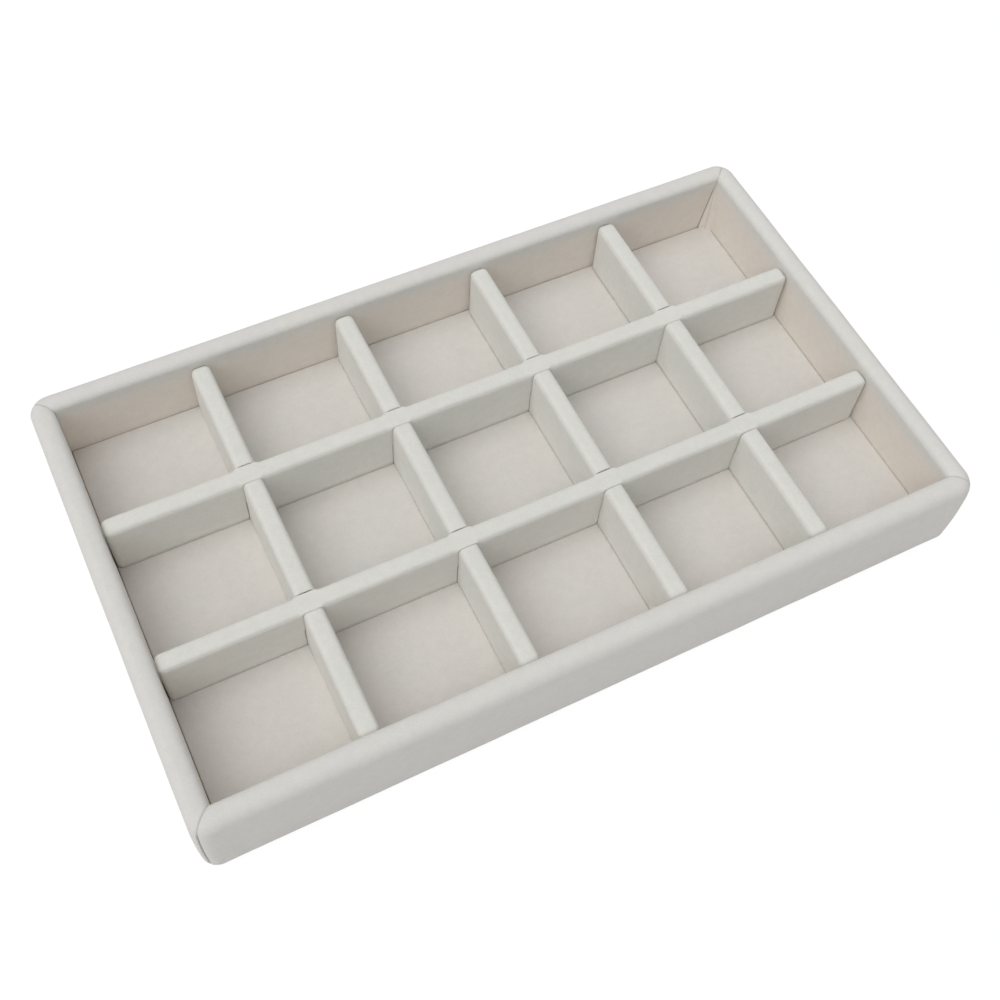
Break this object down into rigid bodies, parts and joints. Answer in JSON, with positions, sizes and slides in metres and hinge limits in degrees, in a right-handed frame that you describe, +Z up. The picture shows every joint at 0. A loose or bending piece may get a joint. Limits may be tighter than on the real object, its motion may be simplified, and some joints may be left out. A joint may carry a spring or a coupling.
{
  "type": "jewelry display tray",
  "caption": "Low suede-wrapped tray with padded rims and a lift-out grid of half-lapped dividers that makes rows of open cells for rings, earrings and small jewellery.",
  "frame": {"origin": "middle of the underside, on the surface the tray stands on", "axes": "+X along the long side, +Y from front to rear, +Z up"},
  "size_m": [0.3, 0.1784, 0.0375],
  "materials": {
    "wall_suede": "short-nap suede, warm off-white",
    "divider_suede": "short-nap suede, cream",
    "floor_suede": "short-nap suede, warm grey-beige",
    "lining": "flocked lining sheet",
    "fibreboard": "raw fibreboard",
    "greyboard": "stiff grey board",
    "foam": "soft foam sheet"
  },
  "bodies": {
    "tray": {"bottom_lining": "lining", "base_board": "fibreboard", "wall_board_front": "fibreboard", "rim_padding_front": "foam", "wall_suede_front": "wall_suede", "wall_board_right": "fibreboard", "rim_padding_right": "foam", "wall_suede_right": "wall_suede", "wall_board_rear": "fibreboard", "rim_padding_rear": "foam", "wall_suede_rear": "wall_suede", "wall_board_left": "fibreboard", "rim_padding_left": "foam", "wall_suede_left": "wall_suede", "floor_pad_board": "greyboard", "floor_pad_foam": "foam", "floor_pad_suede": "floor_suede"},
    "cross_dividers": {"cross_divider_1_core": "fibreboard", "cross_divider_1_suede": "divider_suede", "cross_divider_2_core": "fibreboard", "cross_divider_2_suede": "divider_suede", "cross_divider_3_core": "fibreboard", "cross_divider_3_suede": "divider_suede", "cross_divider_4_core": "fibreboard", "cross_divider_4_suede": "divider_suede"},
    "long_divider_front": {"long_divider_front_core": "fibreboard", "long_divider_front_suede": "divider_suede"},
    "long_divider_rear": {"long_divider_rear_core": "fibreboard", "long_divider_rear_suede": "divider_suede"}
  },
  "joints": [
    {"name": "divider_grid_lift", "type": "slide", "parent": "tray", "child": "cross_dividers", "axis": [0, 0, 1], "range_m": [0, 0.034]},
    {"name": "long_divider_front_lift", "type": "slide", "parent": "cross_dividers", "child": "long_divider_front", "axis": [0, 0, 1], "range_m": [0, 0.03]},
    {"name": "long_divider_rear_lift", "type": "slide", "parent": "cross_dividers", "child": "long_divider_rear", "axis": [0, 0, 1], "range_m": [0, 0.03]}
  ]
}
